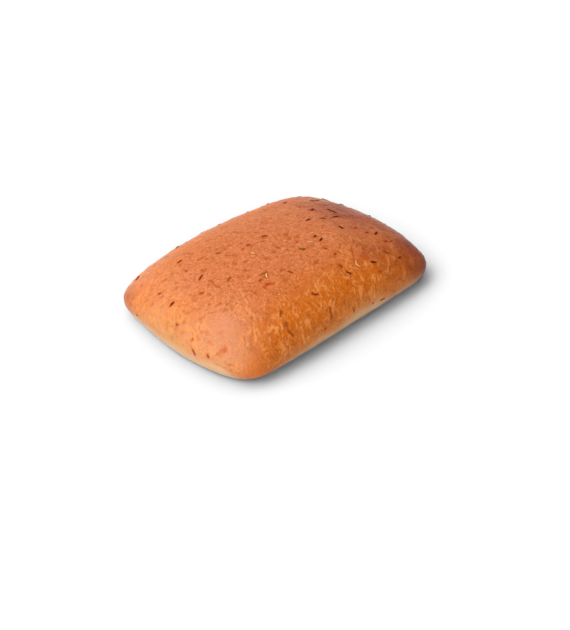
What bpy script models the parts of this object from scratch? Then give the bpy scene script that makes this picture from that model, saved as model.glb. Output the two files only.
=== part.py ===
"""A rosemary focaccia roll: one pillow of baked dough on a flat foot, with cut rosemary baked into its crust.

Metres, +Z up. The roll stands on z = 0, with the middle of its plan at x = y = 0 and its length along X.
The near side is -Y and the left end is -X.
"""

import math
import random

import bmesh
import bpy
from mathutils import Matrix, Vector, noise
from mathutils.bvhtree import BVHTree

MM = 0.001

# The pillow of dough.
LENGTH = 150 * MM
WIDTH = 105 * MM
HEIGHT = 31 * MM
GIRTH_HEIGHT = 7.2 * MM  # the widest line round the roll, where the crust turns under
TUCK = 7 * MM  # how far the foot lies inside the girth
LEAN = -0.03  # the near half stands a little higher than the far one
CORNER_SQUARENESS = 18  # how late a side turns into the corner: more is squarer

# How full the shoulders are: 1 slopes all the way like a shallow dome, and near 0 stands up like a box.
END_FULLNESS = 0.37
NEAR_FULLNESS = 0.48
FAR_FULLNESS = 0.42

# How far the middle of each side stands out past its corners, and where along the side that middle lies.
LEFT_BOW = 8.7 * MM
RIGHT_BOW = 6.3 * MM
NEAR_BOW = 0.8 * MM
FAR_BOW = 5.3 * MM
BOW_CREST = -0.24  # from -1 to 1, so the bows stand out most towards the near left corner

# The crust is never even: broad swells from the proof, and knuckles from the bake.
SWELL_SIZE = 30 * MM
SWELL_DEPTH = 0.45 * MM
KNUCKLE_SIZE = 9 * MM
KNUCKLE_DEPTH = 0.22 * MM

# Faces of the pillow.
LONG_FACES = 62
SHORT_FACES = 44
TUCK_FACES = 5

# Dried rosemary needles, cut short. Half of each one is sunk in the crust.
NEEDLE_THICKNESS = 0.95 * MM
NEEDLE_SIDES = 5
NEEDLE_RINGS = 4

# The largest needles, as they lie on this roll: across and deep from the middle, and length, in
# millimetres, with the heading in degrees from +X.
LARGE_NEEDLES = (
    (-64.5, 7.5, 2, 3.0),
    (-54.5, 44.5, 15, 3.2),
    (-44, 8, 22, 4.4),
    (-39, 29, -10, 2.8),
    (-37, -5, 21, 3.6),
    (-25.5, 45, 10, 2.8),
    (-24, 16, -45, 2.5),
    (-22, -15, -10, 4.4),
    (-22, -17, 56, 3.3),
    (-13.8, 0.8, -82, 3.0),
    (-11, -23, -70, 2.5),
    (-10.5, -40, -30, 3.0),
    (2, 8.2, -45, 2.8),
    (7, -14, -40, 3.4),
    (15, -12, -42, 3.3),
    (15.3, -39, -63, 3.0),
    (21, -14, 20, 2.8),
    (24, -37, -105, 5.0),
    (31, 4.5, -5, 3.0),
    (33, -40, -40, 2.8),
    (38.5, 1, -50, 2.4),
    (39.2, -11.6, -88, 3.0),
    (45.5, -38, -50, 2.6),
    (42.8, 12.5, 10, 2.4),
    (46, -1.7, -15, 3.4),
    (50, 5, -87, 6.6),
    (52.5, -24.5, 25, 3.4),
    (54.5, 23.5, -80, 3.0),
    (57.5, 22.5, -20, 2.6),
)

# Others are sown by chance where the crust turns down on the far side and at the far half of the right
# end. Places are shares of the way from the middle to the edge: u along the length, v across the width.
SOWN_TRIES = 800
SOWN_LENGTHS = (1.8, 3.4)  # millimetres
SOWN_SPACING = 7 * MM
SOWN_TO = 0.97
BEHIND = (0.88, -0.75)  # the far side: least v and least u
BEYOND = (0.93, -0.1)  # the right end: least u and least v
SEED = 11


def clear_scene():
    for old in list(bpy.data.objects):
        bpy.data.objects.remove(old, do_unlink=True)


def new_collection(name):
    made = bpy.data.collections.new(name)
    bpy.context.scene.collection.children.link(made)
    return made


def new_material(name, colour, roughness):
    made = bpy.data.materials.new(name)
    made.use_nodes = True
    shader = made.node_tree.nodes["Principled BSDF"]
    shader.inputs["Base Color"].default_value = (*colour, 1)
    shader.inputs["Roughness"].default_value = roughness
    shader.inputs["Metallic"].default_value = 0
    return made


def rounded_square(u, v):
    """Moves a point of the square from -1 to 1 into the same square with round corners.

    With this share, the two sides meet at a corner in one smooth turn.
    """
    share = 1 / (CORNER_SQUARENESS + 1)
    a = u * (1 - share * abs(v) ** CORNER_SQUARENESS)
    b = v * (1 - share * abs(u) ** CORNER_SQUARENESS)
    return a, b


def past_crest(t):
    """How far a point is from the crest of its side's bow: 0 there, and -1 and 1 at the corners."""
    return t - BOW_CREST * (1 - t * t)


def plan_point(u, v):
    """The place in the plan of a point of the square from -1 to 1."""
    a, b = rounded_square(u, v)
    end_bow = LEFT_BOW if a < 0 else RIGHT_BOW
    side_bow = NEAR_BOW if b < 0 else FAR_BOW
    x = a * (LENGTH / 2 - end_bow * past_crest(b) ** 2)
    y = b * (WIDTH / 2 - side_bow * past_crest(a) ** 2)
    return x, y


def side_fullness(v):
    """The fullness across the width, passing smoothly from the near side to the far one."""
    t = (v + 1) / 2
    return NEAR_FULLNESS + (FAR_FULLNESS - NEAR_FULLNESS) * t * t * (3 - 2 * t)


def top_point(u, v):
    """A point of the crust above the girth."""
    x, y = plan_point(u, v)
    dome = max(1 - u * u, 0) ** END_FULLNESS * max(1 - v * v, 0) ** side_fullness(v)
    rise = (HEIGHT - GIRTH_HEIGHT) * dome * (1 + LEAN * v)
    return Vector((x, y, GIRTH_HEIGHT + rise))


def eased(t):
    """Spreads even steps from -1 to 1 so that they crowd at both ends, where the shoulders turn."""
    return math.sin(t * math.pi / 2)


def tucked(point, turn):
    """A girth point carried round the under edge: turn is 0 at the girth and 1 at the foot."""
    angle = turn * math.pi / 2
    draw_in = TUCK * (1 - math.cos(angle))
    x = point.x * (1 - draw_in / (LENGTH / 2))
    y = point.y * (1 - draw_in / (WIDTH / 2))
    return Vector((x, y, GIRTH_HEIGHT * (1 - math.sin(angle))))


def unevenness(point):
    """How far the crust stands out from the even pillow, fading to nothing at the flat foot."""
    swell = SWELL_DEPTH * noise.noise(point / SWELL_SIZE)
    knuckle = KNUCKLE_DEPTH * noise.noise(point / KNUCKLE_SIZE)
    above_foot = min(point.z / GIRTH_HEIGHT, 1)
    return (swell + knuckle) * above_foot


def make_dough():
    """The pillow: a grid bent over the top, its edge drawn down round the under side, and a flat foot."""
    shape = bmesh.new()
    bmesh.ops.create_grid(shape, x_segments=LONG_FACES, y_segments=SHORT_FACES, size=1)
    for vert in shape.verts:
        vert.co = top_point(eased(vert.co.x), eased(vert.co.y))

    edge = [e for e in shape.edges if e.is_boundary]
    girth = {}
    for step in range(1, TUCK_FACES + 1):
        before = {v for e in edge for v in e.verts}
        if step == 1:
            girth = {v: v.co.copy() for v in before}
        drawn = bmesh.ops.extrude_edge_only(shape, edges=edge)["geom"]
        edge = [g for g in drawn if isinstance(g, bmesh.types.BMEdge) and g.is_boundary]
        below = {}
        for new in {v for e in edge for v in e.verts}:
            above = next(e.other_vert(new) for e in new.link_edges if e.other_vert(new) in before)
            below[new] = girth[above]
        for new, start in below.items():
            new.co = tucked(start, step / TUCK_FACES)
        girth = below
    bmesh.ops.holes_fill(shape, edges=edge)
    bmesh.ops.recalc_face_normals(shape, faces=shape.faces)

    shape.normal_update()
    moves = [(v, v.normal * unevenness(v.co)) for v in shape.verts if v.co.z > 0]
    for vert, move in moves:
        vert.co += move
    return shape


def lengthways(surface, x, y, heading):
    """The frame of a needle on the crust at x, y: its length along Z, lying along the heading."""
    place, normal, _, _ = surface.ray_cast(Vector((x, y, 2 * HEIGHT)), Vector((0, 0, -1)))
    if place is None:
        return None
    along = Vector((math.cos(heading), math.sin(heading), 0))
    along = (along - normal * along.dot(normal)).normalized()
    across = normal.cross(along)
    turn = Matrix((across, normal, along)).transposed().to_4x4()
    return Matrix.Translation(place) @ turn


def sown_needles(rng):
    """Needles strewn by chance on two slopes: each new one keeps its distance from all before it."""
    taken = [Vector((x * MM, y * MM)) for x, y, _, _ in LARGE_NEEDLES]
    sown = []
    for _ in range(SOWN_TRIES):
        u = rng.uniform(-SOWN_TO, SOWN_TO)
        v = rng.uniform(-SOWN_TO, SOWN_TO)
        behind = v > BEHIND[0] and u > BEHIND[1]
        beyond = u > BEYOND[0] and v > BEYOND[1]
        if not (behind or beyond):
            continue
        spot = Vector(plan_point(u, v))
        if min((spot - other).length for other in taken) < SOWN_SPACING:
            continue
        taken.append(spot)
        length = rng.uniform(*SOWN_LENGTHS)
        sown.append((spot.x / MM, spot.y / MM, rng.uniform(0, 180), length))
    return sown


def make_needle(number, frame, length, group, material):
    shape = bmesh.new()
    bmesh.ops.create_uvsphere(
        shape,
        u_segments=NEEDLE_SIDES,
        v_segments=NEEDLE_RINGS,
        radius=1,
        matrix=Matrix.Diagonal((NEEDLE_THICKNESS / 2, NEEDLE_THICKNESS / 2, length / 2, 1)),
    )
    mesh = bpy.data.meshes.new(f"needle_{number}")
    shape.to_mesh(mesh)
    shape.free()
    mesh.materials.append(material)
    needle = bpy.data.objects.new(f"needle_{number}", mesh)
    needle.matrix_world = frame
    needle.hide_render = True
    needle.display_type = "WIRE"
    group.objects.link(needle)


def fuse(body, group):
    """Joins every piece of the group to the body, and removes the pieces."""
    union = body.modifiers.new("baked in", "BOOLEAN")
    union.operation = "UNION"
    union.operand_type = "COLLECTION"
    union.collection = group
    union.solver = "EXACT"
    union.material_mode = "TRANSFER"
    graph = bpy.context.evaluated_depsgraph_get()
    fused = bpy.data.meshes.new_from_object(body.evaluated_get(graph), depsgraph=graph)
    body.modifiers.clear()
    body.data = fused
    for piece in list(group.objects):
        bpy.data.objects.remove(piece, do_unlink=True)
    bpy.data.collections.remove(group)


def centre_plan(mesh):
    """Slides the mesh so that the middle of its plan is at x = y = 0."""
    across = [v.co.x for v in mesh.vertices]
    deep = [v.co.y for v in mesh.vertices]
    middle = Vector(((min(across) + max(across)) / 2, (min(deep) + max(deep)) / 2, 0))
    mesh.transform(Matrix.Translation(-middle))


def main():
    clear_scene()
    loaf = new_collection("rosemary_focaccia")
    toppings = new_collection("rosemary")
    crust = new_material("baked_crust", (0.60, 0.22, 0.07), 0.48)
    herb = new_material("dried_rosemary", (0.06, 0.05, 0.02), 0.75)

    shape = make_dough()
    surface = BVHTree.FromBMesh(shape)
    mesh = bpy.data.meshes.new("focaccia")
    shape.to_mesh(mesh)
    shape.free()
    mesh.materials.append(crust)
    focaccia = bpy.data.objects.new("focaccia", mesh)
    loaf.objects.link(focaccia)

    needles = list(LARGE_NEEDLES) + sown_needles(random.Random(SEED))
    for number, (x, y, heading, length) in enumerate(needles):
        frame = lengthways(surface, x * MM, y * MM, math.radians(heading))
        if frame is not None:
            make_needle(number, frame, length * MM, toppings, herb)
    fuse(focaccia, toppings)
    centre_plan(focaccia.data)
    focaccia.data.shade_smooth()
    focaccia.data.set_sharp_from_angle(angle=math.radians(50))


main()
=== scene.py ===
# %% [markdown]
# # A rosemary focaccia roll
#
# The roll is one pillow of dough, proofed on a tray and baked until its skin is golden brown. Cut
# rosemary was kneaded in and strewn on top, so needles show all over the crust and some stick out
# of it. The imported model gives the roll's true form. This script dresses that form: it makes the
# crust again with its fine wrinkles, lays the rosemary on it, and lights it like a studio photo.

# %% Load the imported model
import math
import random

import bmesh
import bpy
import numpy as np
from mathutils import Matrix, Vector, geometry, noise
from mathutils.bvhtree import BVHTree
from mathutils.kdtree import KDTree


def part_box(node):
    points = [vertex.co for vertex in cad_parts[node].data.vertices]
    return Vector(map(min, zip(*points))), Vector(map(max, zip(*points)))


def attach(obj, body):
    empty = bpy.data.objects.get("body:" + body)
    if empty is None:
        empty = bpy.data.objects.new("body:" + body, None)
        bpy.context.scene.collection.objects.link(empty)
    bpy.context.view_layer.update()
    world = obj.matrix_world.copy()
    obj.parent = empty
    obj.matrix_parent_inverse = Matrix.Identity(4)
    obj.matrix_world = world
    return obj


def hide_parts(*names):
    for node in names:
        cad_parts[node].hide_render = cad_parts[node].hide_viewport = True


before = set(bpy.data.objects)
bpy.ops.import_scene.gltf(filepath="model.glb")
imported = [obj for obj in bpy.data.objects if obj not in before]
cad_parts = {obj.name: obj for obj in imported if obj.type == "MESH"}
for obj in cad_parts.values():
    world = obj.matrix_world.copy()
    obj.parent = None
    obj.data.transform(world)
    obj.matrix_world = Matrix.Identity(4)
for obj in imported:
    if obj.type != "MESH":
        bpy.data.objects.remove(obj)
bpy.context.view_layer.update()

MM = 0.001
low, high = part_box("focaccia")
LENGTH, WIDTH, HEIGHT = high - low
print(f"the solid is {LENGTH / MM:.1f} x {WIDTH / MM:.1f} x {HEIGHT / MM:.1f} mm")

# %% [markdown]
# ## The pillow
#
# A proofed roll has no sharp corners, and only its foot is flat. Its plan is a rectangle with round
# corners whose sides bow out, most at the left end and hardly at all on the near side. Over that plan
# stands a dome that is full at the shoulders and nearly flat on top. The same formulas made the solid,
# so the crust here follows it everywhere. They are written for whole arrays of points, because the
# crust has far more of them than the solid.

# %% Shape of the pillow
GIRTH_HEIGHT = 7.2 * MM
LEAN = -0.03
END_FULLNESS = 0.37
NEAR_FULLNESS = 0.48
FAR_FULLNESS = 0.42
CORNER_SQUARENESS = 18
LEFT_BOW = 8.7 * MM
RIGHT_BOW = 6.3 * MM
NEAR_BOW = 0.8 * MM
FAR_BOW = 5.3 * MM
BOW_CREST = -0.24


def past_crest(t):
    """How far a point is from the crest of its side's bow."""
    return t - BOW_CREST * (1 - t * t)


def plan_point(u, v):
    """The place in the plan of a point of the square from -1 to 1."""
    share = 1 / (CORNER_SQUARENESS + 1)
    a = u * (1 - share * np.abs(v) ** CORNER_SQUARENESS)
    b = v * (1 - share * np.abs(u) ** CORNER_SQUARENESS)
    end_bow = np.where(a < 0, LEFT_BOW, RIGHT_BOW)
    side_bow = np.where(b < 0, NEAR_BOW, FAR_BOW)
    x = a * (LENGTH / 2 - end_bow * past_crest(b) ** 2)
    y = b * (WIDTH / 2 - side_bow * past_crest(a) ** 2)
    return x, y


def top_points(u, v):
    """Points of the crust above the girth, the widest line round the roll."""
    x, y = plan_point(u, v)
    t = (v + 1) / 2
    side_fullness = NEAR_FULLNESS + (FAR_FULLNESS - NEAR_FULLNESS) * t * t * (3 - 2 * t)
    dome = np.maximum(1 - u * u, 0) ** END_FULLNESS * np.maximum(1 - v * v, 0) ** side_fullness
    z = GIRTH_HEIGHT + (HEIGHT - GIRTH_HEIGHT) * dome * (1 + LEAN * v)
    return np.stack([x, y, z], axis=-1)


near_corner = top_points(np.array(-1), np.array(-1))
print("the near left corner of the girth is at", np.round(near_corner / MM, 1), "mm")

# %% [markdown]
# ## Even spacing
#
# The crust turns down steeply at the rim. Grid lines at even steps in the plan would leave the steep
# part with too few points, just where the wrinkles are. Measuring the length along a cross-section
# and stepping evenly along that keeps the faces the same size from the top to the rim.

# %% Spacing of the grid lines
LONG_FACES = 288
SHORT_FACES = 238
SECTION_STEPS = 20001


def even_steps(count, section):
    """Grid lines from -1 to 1 that lie evenly along the crust of a cross-section."""
    t = np.sin(np.linspace(-1, 1, SECTION_STEPS) * math.pi / 2)
    points = section(t)
    steps = np.linalg.norm(np.diff(points, axis=0), axis=1)
    length = np.concatenate([[0], np.cumsum(steps)])
    lines = np.interp(np.linspace(0, length[-1], count + 1), length, t)
    print(f"{count} faces over {length[-1] / MM:.0f} mm of crust, {length[-1] / count / MM:.2f} mm each")
    return lines


u_lines = even_steps(LONG_FACES, lambda t: top_points(t, 0 * t))
v_lines = even_steps(SHORT_FACES, lambda t: top_points(0 * t, t))

# %% [markdown]
# ## The under edge
#
# The crust curls under itself on the tray. In cross-section the curl is a quarter of an ellipse, so
# the points of the girth are carried down and in along one, ring by ring, until they reach the foot.
# The first ring is the grid's own open edge, and so the curl joins the top without a seam.

# %% Rings under the girth
TUCK = 7 * MM
TUCK_FACES = 17


def tucked(girth, turn):
    """Girth points carried round the under edge: turn is 0 at the girth and 1 at the foot."""
    draw_in = TUCK * (1 - math.cos(turn * math.pi / 2))
    z = GIRTH_HEIGHT * (1 - math.sin(turn * math.pi / 2))
    return [Vector((p.x * (1 - 2 * draw_in / LENGTH), p.y * (1 - 2 * draw_in / WIDTH), z)) for p in girth]


def ring_from(edge):
    """The vertices of the open edge in order, round the shape."""
    ring = [edge.verts[0]]
    at, come = edge.verts[1], edge
    while at is not ring[0]:
        ring.append(at)
        come = next(e for e in at.link_edges if e.is_boundary and e is not come)
        at = come.other_vert(at)
    return ring


def join_rings(shape, before, after):
    """A band of faces between two rings with as many vertices each."""
    for i in range(len(before)):
        j = (i + 1) % len(before)
        shape.faces.new((before[i], before[j], after[j], after[i]))


print(f"{TUCK_FACES} rings draw the crust in by {TUCK / MM:.0f} mm")

# %% [markdown]
# ## The foot
#
# The foot is flat. One face with hundreds of corners would shade badly, and so would a fan of long
# triangles. Delaunay triangulation joins the outline and points laid in rows inside it, and of all
# ways to join them it keeps furthest from slivers.

# %% Fill the foot
FOOT_SPACING = 2.4 * MM
TRIANGLES_INSIDE = 1
WELD = 1e-7


def inside_foot(point, margin):
    """Whether a point of the floor lies inside the foot by a margin."""
    reach_x = LENGTH / 2 - TUCK - margin
    reach_y = WIDTH / 2 - TUCK - margin
    u, v = point.x / reach_x, point.y / reach_y
    if max(abs(u), abs(v)) >= 1:
        return False
    x, _ = plan_point(np.array(math.copysign(1, u)), np.array(v))
    _, y = plan_point(np.array(u), np.array(math.copysign(1, v)))
    side_x = abs(float(x)) - TUCK - margin
    side_y = abs(float(y)) - TUCK - margin
    return abs(point.x) < side_x and abs(point.y) < side_y


def fill_foot(shape, ring):
    """Closes the foot inside its ring of vertices with even triangles."""
    outline = [v.co.xy for v in ring]
    inner = []
    row = -WIDTH / 2
    while row < WIDTH / 2:
        row += FOOT_SPACING
        for column in np.arange(-LENGTH / 2, LENGTH / 2, FOOT_SPACING):
            inner.append(Vector((column, row)))
    keep = [p for p in inner if inside_foot(p, FOOT_SPACING)]
    edges = [(i, (i + 1) % len(outline)) for i in range(len(outline))]
    joined = geometry.delaunay_2d_cdt(outline + keep, edges, [], TRIANGLES_INSIDE, WELD)
    _, _, triangles, sources, _, _ = joined
    verts = list(ring) + [shape.verts.new((p.x, p.y, 0)) for p in keep]
    for corners in triangles:
        shape.faces.new([verts[sources[i][0]] for i in corners])


print(f"the foot's triangles are about {FOOT_SPACING / MM:.1f} mm wide")

# %% [markdown]
# ## The dough's mesh
#
# Blender's grid makes the top, and each of its points is moved to its place on the dome. A cube that
# is smoothed by subdivision would do too, but its faces would crowd at the corners. The rings and the
# foot close the shape.

# %% Meshes and objects
def mesh_from(shape, name):
    """The shape as a mesh of this name. The shape itself is let go."""
    mesh = bpy.data.meshes.new(name)
    shape.to_mesh(mesh)
    shape.free()
    print(f"{name}: {len(mesh.vertices)} points, {len(mesh.polygons)} faces")
    return mesh


def put_in_scene(name, data):
    """A new object in the scene that shows this mesh, lamp or camera."""
    thing = bpy.data.objects.new(name, data)
    bpy.context.scene.collection.objects.link(thing)
    return thing


# %% Build the dough
def make_dough():
    """The pillow as a closed mesh, still even and smooth."""
    shape = bmesh.new()
    made = bmesh.ops.create_grid(shape, x_segments=LONG_FACES, y_segments=SHORT_FACES, size=1)
    verts = made["verts"]
    grid = np.array([v.co for v in verts])
    u = u_lines[np.rint((grid[:, 0] + 1) * LONG_FACES / 2).astype(int)]
    v = v_lines[np.rint((grid[:, 1] + 1) * SHORT_FACES / 2).astype(int)]
    for vert, place in zip(verts, top_points(u, v)):
        vert.co = place

    ring = ring_from(next(e for e in shape.edges if e.is_boundary))
    girth = [v.co.copy() for v in ring]
    for step in range(1, TUCK_FACES + 1):
        below = [shape.verts.new(p) for p in tucked(girth, step / TUCK_FACES)]
        join_rings(shape, ring, below)
        ring = below
    fill_foot(shape, ring)
    bmesh.ops.recalc_face_normals(shape, faces=shape.faces)
    return shape


crust_mesh = mesh_from(make_dough(), "crust")

# %% [markdown]
# ## Relief of the crust
#
# Three things roughen a baked crust. The proof leaves broad swells and knuckles, which the solid has
# too. Steam lifts small blisters, which read as orange peel. And the skin dries before the crumb sets,
# so it wrinkles where the roll sags: fine crests that run down the slopes. Each is a noise of its own
# size, and the points move along their normals, as if the skin itself were lifted. Bump alone would
# be quicker, but then the relief would be missing from the outline and from the mesh.

# %% Points and normals as arrays
def points_of(mesh):
    """The places of a mesh's points, one row each."""
    flat = np.empty(len(mesh.vertices) * 3, np.float32)
    mesh.vertices.foreach_get("co", flat)
    return flat.reshape(-1, 3).astype(float)


def normals_of(mesh):
    """The outward directions at a mesh's points, one row each."""
    flat = np.empty(len(mesh.vertices) * 3, np.float32)
    mesh.vertex_normals.foreach_get("vector", flat)
    return flat.reshape(-1, 3).astype(float)


def move_points(mesh, points):
    """Puts a mesh's points at these places."""
    mesh.vertices.foreach_set("co", points.astype(np.float32).ravel())
    mesh.update()


print("the dough's points reach from", np.round(points_of(crust_mesh).min(axis=0) / MM, 1), "mm")

# %% Noises and ramps over the points
LAYER_SHIFT = 17.3


def noise_over(points, size, layer=0):
    """Smooth noise from -1 to 1 at each point, with features of this size. Layers differ."""
    scaled = points / size + LAYER_SHIFT * layer
    return np.array([noise.noise(Vector(p)) for p in scaled])


def noise_shifts(points, size, layer):
    """A smoothly changing shift for each point: three noises, one for each axis."""
    return np.stack([noise_over(points, size, layer + axis) for axis in range(3)], axis=1)


def ramp(values, start, end):
    """0 at start and 1 at end, with soft shoulders. Start may be the larger."""
    t = np.clip((values - start) / (end - start), 0, 1)
    return t * t * (3 - 2 * t)


def within_skin(shifts, normals):
    """The shifts less their part along the normals, so that they don't lead off the skin."""
    return shifts - normals * (shifts * normals).sum(axis=1)[:, None]


print("a ramp at each quarter of its way:", ramp(np.linspace(0, 1, 5), 0, 1))

# %% Swells and knuckles
SWELL_SIZE = 30 * MM
SWELL_DEPTH = 0.45 * MM
KNUCKLE_SIZE = 9 * MM
KNUCKLE_DEPTH = 0.22 * MM

points = points_of(crust_mesh)
normals = normals_of(crust_mesh)
above_foot = np.clip(points[:, 2] / GIRTH_HEIGHT, 0, 1)
uneven = SWELL_DEPTH * noise_over(points, SWELL_SIZE) + KNUCKLE_DEPTH * noise_over(points, KNUCKLE_SIZE)
points += normals * (uneven * above_foot)[:, None]

reach_low, reach_high = points.min(axis=0), points.max(axis=0)
stretch = np.array(high - low) / (reach_high - reach_low)
points = np.array(low) + (points - reach_low) * stretch
move_points(crust_mesh, points)
print("stretched to the solid's box by", np.round(stretch, 4))

# %% [markdown]
# ## Places on the crust
#
# Creases, stains and rosemary lie where they lie on this roll. Each is written as millimetres across
# and deep from the middle of the plan, and a ray from above finds the crust there. Places below the
# girth, which no ray from above can reach, carry their height too.

# %% Finding a place on the crust
def tree_of(mesh):
    """The mesh as a tree that finds the nearest place on it quickly."""
    return BVHTree.FromPolygons([Vector(p) for p in points_of(mesh)], [p.vertices for p in mesh.polygons])


def on_crust(tree, x, y, z=None):
    """The place and the outward direction of the crust at x, y, or nearest to x, y, z."""
    found = (None, None)
    if z is None:
        found = tree.ray_cast(Vector((x, y, 2 * HEIGHT)), Vector((0, 0, -1)))
    if found[0] is None:
        found = tree.find_nearest(Vector((x, y, GIRTH_HEIGHT if z is None else z)))
    return found[0], found[1]


smooth_crust = tree_of(crust_mesh)
peak = on_crust(smooth_crust, 0, 0)[0]
print(f"over the middle the crust stands {peak.z / MM:.1f} mm high")

# %% Paths, and how far the crust is from them
PATH_STEP = 0.4
LINE_REACH = 6 * MM
FAR_AWAY = 1.0


def crust_path(tree, corners):
    """Closely spaced places along a path over the crust, given its corners in millimetres."""
    places = []
    for start, end in zip(corners, corners[1:]):
        count = max(2, int(math.dist(start, end) / PATH_STEP))
        for share in np.linspace(0, 1, count):
            spot = [(a + (b - a) * share) * MM for a, b in zip(start, end)]
            places.append(on_crust(tree, *spot)[0])
    return np.array(places)


def distance_to(places, spots):
    """The distance from each of these spots to the nearest of these places, if it is close."""
    away = np.full(len(spots), FAR_AWAY)
    above = spots > places.min(axis=0) - LINE_REACH
    below = spots < places.max(axis=0) + LINE_REACH
    close = np.all(above & below, axis=1)
    gaps = spots[close][:, None, :] - places[None, :, :]
    away[close] = np.sqrt((gaps ** 2).sum(axis=2).min(axis=1))
    return away


print(f"a path has a place every {PATH_STEP} mm")

# %% [markdown]
# ## Wrinkles
#
# A wrinkle is narrow across and long down the slope. Averaging a noise over a few steps along the way
# the skin sagged smears it into streaks, whichever way the slope faces, and so the wrinkles turn the
# corners of the roll smoothly. On the near and left slopes they also lean towards the near left
# corner, where the roll sank last. The crests are where the smeared noise crosses nought: thin, wavy
# lines that fork and stop. On the flat top the smear shrinks, and the crests become a net. Above the
# near left corner the skin stayed smooth in two spots, and there the crests are held back.

# %% The way the skin sagged
DRIFT = 0.5
DRIFTS_FROM_TO = (0.3, -0.3)
SAGS_FROM_TO = (0.08, 0.4)
SLOPE_FROM_TO = (0.12, 0.5)
FACES_UP_FROM_TO = (-0.05, 0.3)
TINY = 1e-6


def sagging(normals, sideways):
    """The way the skin sagged at each point, shorter where the crust is flat."""
    drift = ramp(normals[:, 0] + normals[:, 1], *DRIFTS_FROM_TO) * DRIFT
    pull = np.stack([-drift, -drift, np.full(len(normals), -1.0)], axis=1)
    along = within_skin(pull, normals)
    along /= np.maximum(np.linalg.norm(along, axis=1), TINY)[:, None]
    return along * ramp(sideways, *SAGS_FROM_TO)[:, None]


normals = normals_of(crust_mesh)
sideways = np.sqrt(np.maximum(1 - normals[:, 2] ** 2, 0))
sag = sagging(normals, sideways)
on_slope = ramp(sideways, *SLOPE_FROM_TO)
faces_up = ramp(normals[:, 2], *FACES_UP_FROM_TO)
print(f"{100 * (on_slope > 0.5).mean():.0f}% of the points are on a slope")

# %% Spots that stayed smooth
SMOOTH_SPOTS = (
    # middle in the plan, radius, how smooth
    ((-61.4 * MM, -27 * MM), 9 * MM, 1.0),
    ((-62 * MM, -48 * MM), 8 * MM, 0.75),
)
SPOT_FROM_TO = (1.2, 0.5)
HELD_BACK = 0.75

smoothed = np.zeros(len(points))
for middle, radius, strength in SMOOTH_SPOTS:
    place = np.array(on_crust(smooth_crust, *middle)[0])
    away = np.linalg.norm(points - place, axis=1) / radius
    smoothed = np.maximum(smoothed, strength * ramp(away, *SPOT_FROM_TO))
lively = 1 - HELD_BACK * smoothed
print(f"{len(SMOOTH_SPOTS)} smooth spots over {100 * (smoothed > 0.5).mean():.1f}% of the crust")

# %% Wrinkles down the slopes
WRINKLE_SETS = (
    # size, reach along the slope, height, width of a crest, how pale it is painted (partly painted
    # highlight)
    (2.9 * MM, 3.6 * MM, 0.22 * MM, 0.12, 0.8),
    (1.7 * MM, 2.8 * MM, 0.18 * MM, 0.17, 1.0),
)
WRINKLE_STEPS = 9
USUAL_SPREAD = 3
BEND_SIZE = 5 * MM
BEND_REACH = 1.2 * MM
PATCH_OF_WRINKLES = 5 * MM
PATCHY_FROM_TO = (-0.25, 0.4)
ON_TOP, MORE_ON_SLOPES = 0.3, 0.7

bent = points + BEND_REACH * noise_shifts(points, BEND_SIZE, layer=20)


def streaks(size, reach, layer):
    """Noise smeared along the sag over this reach, scaled back to the usual spread."""
    total = np.zeros(len(points))
    for step in np.linspace(-reach, reach, WRINKLE_STEPS):
        total += noise_over(bent + sag * step, size, layer)
    total /= WRINKLE_STEPS
    return total / (total.std() * USUAL_SPREAD)


wrinkle = np.zeros(len(points))
wrinkle_relief = np.zeros(len(points))
for number, (size, reach, tall, width, pale) in enumerate(WRINKLE_SETS):
    crest = ramp(np.abs(streaks(size, reach, layer=3 + number)), width, 0.0)
    patchy = ramp(noise_over(points, PATCH_OF_WRINKLES, layer=5 + number), *PATCHY_FROM_TO)
    here = crest * patchy * (ON_TOP + MORE_ON_SLOPES * on_slope) * faces_up * lively
    wrinkle = np.maximum(wrinkle, here * pale)
    wrinkle_relief += tall * here
print(f"wrinkles cover {100 * (wrinkle > 0.4).mean():.0f}% of the crust")

# %% [markdown]
# ## Creases and folds
#
# A few larger lines are the roll's own: where the skin was folded in shaping it left a groove with a
# raised lip, and where it was pinched it left a ridge, painted pale, partly as a painted highlight.
# They run along short paths over the crust.
# A line between two corners would look ruled, so each point of the skin is first shifted aside by a
# fine noise, and its distance to the path is taken from there: the line wavers, and a second noise
# breaks the ridges up. The shift stays within the skin, because one along the normal would lead off
# it and fade the line.

# %% Grooves
GROOVES = (
    # depth and half width in millimetres, then the path
    (0.18, 0.40, ((30.6, -27.2), (27.7, -30.0), (25.6, -32.9), (23.9, -35.5))),
    (0.30, 1.10, ((-35.2, -43.5), (-36.0, -44.6))),
    (0.26, 0.85, ((-36.2, -44.9), (-36.5, -45.8), (-36.5, -47.2), (-35.9, -48.7))),
    (0.26, 0.90, ((-8.3, -47.9), (-8.9, -49.2), (-9.4, -50.4))),
    (0.20, 0.70, ((-32.9, -37.9), (-34.9, -39.4))),
    (0.14, 0.45, ((11.4, -41.8), (9.7, -43.6))),
    (0.12, 0.45, ((10.2, -50.0), (9.9, -51.4))),
    (0.12, 0.50, ((-49.4, -50.1), (-49.6, -51.0))),
    (0.08, 0.35, ((-71.4, -36.2, 11.1), (-69.8, -40.9, 10.7))),
    (0.09, 0.35, ((-72.9, -31.3, 9.3), (-71.8, -37.6, 8.8), (-70.6, -40.6, 8.4))),
    (0.08, 0.35, ((-71.6, -37.6, 7.6), (-69.6, -42.6, 7.2), (-67.6, -45.6, 6.9))),
)
# a groove this deep, in millimetres, gets the full painted shade
FULLY_DARK_FROM = 0.2
LIP_SHARE = 0.5
LIP_AT = 1.9
LINE_WAVE = 1.7 * MM
LINE_WAVER = 0.55 * MM


def bell(away):
    """A soft hump: 1 at nought, about a third at one and next to nothing from two on."""
    return np.exp(-away ** 2)


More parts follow.
